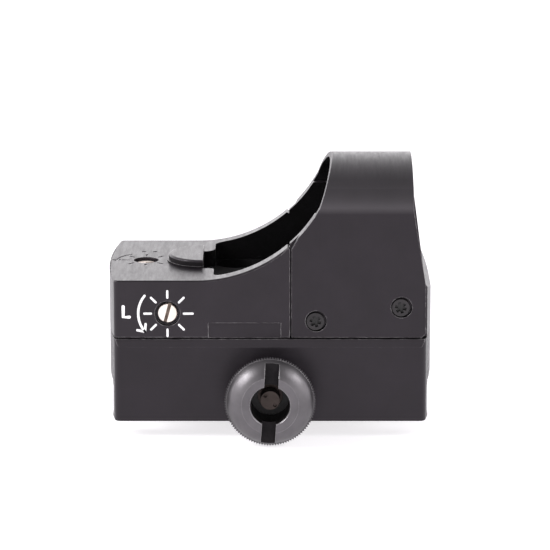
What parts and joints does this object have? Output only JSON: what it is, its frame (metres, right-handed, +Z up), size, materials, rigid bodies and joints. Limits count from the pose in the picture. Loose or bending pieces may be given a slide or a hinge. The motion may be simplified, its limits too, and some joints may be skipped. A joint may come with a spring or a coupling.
{
  "type": "reflex red dot sight",
  "caption": "Compact open reflex sight with an arched hood over a tilted lens, slotted dot adjusters, and a side clamp with a knurled thumb nut for an accessory rail.",
  "frame": {"origin": "centre of the rail seat, the flat underside that rests on the rail's top, on the axis plane of the cross bolt", "axes": "+X forward to the lens along the rail, +Y to the sight's left, +Z up; the clamp knob is on -Y"},
  "size_m": [0.046, 0.0337, 0.0381],
  "materials": {
    "black_anodised": "fine matte black anodising, paler on worn edges",
    "hood_finish": "fine matte black coating",
    "mount_anodised": "fine matte black anodising",
    "black_steel": "blackened steel",
    "coated_glass": "coated glass with a faint tint",
    "clear_pane": "clear plastic pane",
    "black_rubber": "soft black rubber",
    "nickel_brass": "pale nickel-plated brass",
    "brass": "plain brass",
    "spring_steel": "bright steel",
    "carrier_plastic": "black moulded plastic",
    "chip_plastic": "clear resin over a chip",
    "lead_film": "amber film lead",
    "board_laminate": "green circuit laminate",
    "cell_can": "bright pressed can",
    "knob_steel": "satin grey steel, turned"
  },
  "bodies": {
    "housing": {"main_body": "black_anodised", "lens_hood": "hood_finish", "hood_screws": "black_steel", "lens": "coated_glass", "lens_seal": "black_rubber", "lens_bezel": "black_anodised", "emitter_cover": "black_anodised", "emitter_window": "clear_pane", "emitter_lead": "lead_film", "drive_cover": "black_anodised", "circuit_board": "board_laminate", "light_sensor": "chip_plastic", "sensor_window": "clear_pane", "coin_cell": "cell_can", "terminal_contact": "brass", "can_contact": "brass", "base_seal": "black_rubber", "mounting_screws": "black_steel", "locating_pegs": "spring_steel", "mount_base": "mount_anodised", "jaw_pins": "spring_steel", "cross_bolt": "black_steel"},
    "jaw": {"clamp_jaw": "mount_anodised"},
    "knob": {"clamp_knob": "knob_steel"},
    "windage": {"windage_screw": "nickel_brass", "windage_seal": "black_rubber", "windage_clip": "spring_steel"},
    "windage_drive": {"windage_nut": "brass"},
    "elevation": {"elevation_screw": "nickel_brass", "elevation_seal": "black_rubber", "elevation_clip": "spring_steel"},
    "elevation_drive": {"elevation_yoke": "carrier_plastic", "guide_rods": "spring_steel"},
    "emitter": {"emitter_carrier": "carrier_plastic", "light_emitter": "chip_plastic"}
  },
  "joints": [
    {"name": "jaw_slide", "type": "slide", "parent": "housing", "child": "jaw", "axis": [0, -1, 0], "range_m": [0, 0.0021]},
    {"name": "knob_turn", "type": "hinge", "parent": "jaw", "child": "knob", "pos_m": [0, -0.016, -0.0012], "axis": [0, -1, 0], "range_deg": [0, 1080]},
    {"name": "windage_turn", "type": "hinge", "parent": "housing", "child": "windage", "pos_m": [-0.01443, -0.012, 0.01032], "axis": [0, -1, 0], "range_deg": [-360, 360]},
    {"name": "windage_shift", "type": "slide", "parent": "housing", "child": "windage_drive", "axis": [0, 1, 0], "range_m": [-0.00035, 0.00035]},
    {"name": "elevation_turn", "type": "hinge", "parent": "housing", "child": "elevation", "pos_m": [-0.0178, 0, 0.01375], "axis": [0, 0, 1], "range_deg": [-360, 360]},
    {"name": "elevation_shift", "type": "slide", "parent": "housing", "child": "elevation_drive", "axis": [0, 0, -1], "range_m": [-0.00035, 0.00035]},
    {"name": "emitter_shift", "type": "slide", "parent": "elevation_drive", "child": "emitter", "axis": [0, 1, 0], "range_m": [-0.00035, 0.00035]}
  ],
  "couplings": [
    {"joint": "knob_turn", "follows": "jaw_slide", "rad_per_m": 8975.9},
    {"joint": "windage_turn", "follows": "windage_shift", "rad_per_m": 17952},
    {"joint": "emitter_shift", "follows": "windage_shift", "ratio": 1},
    {"joint": "elevation_turn", "follows": "elevation_shift", "rad_per_m": 17952}
  ]
}
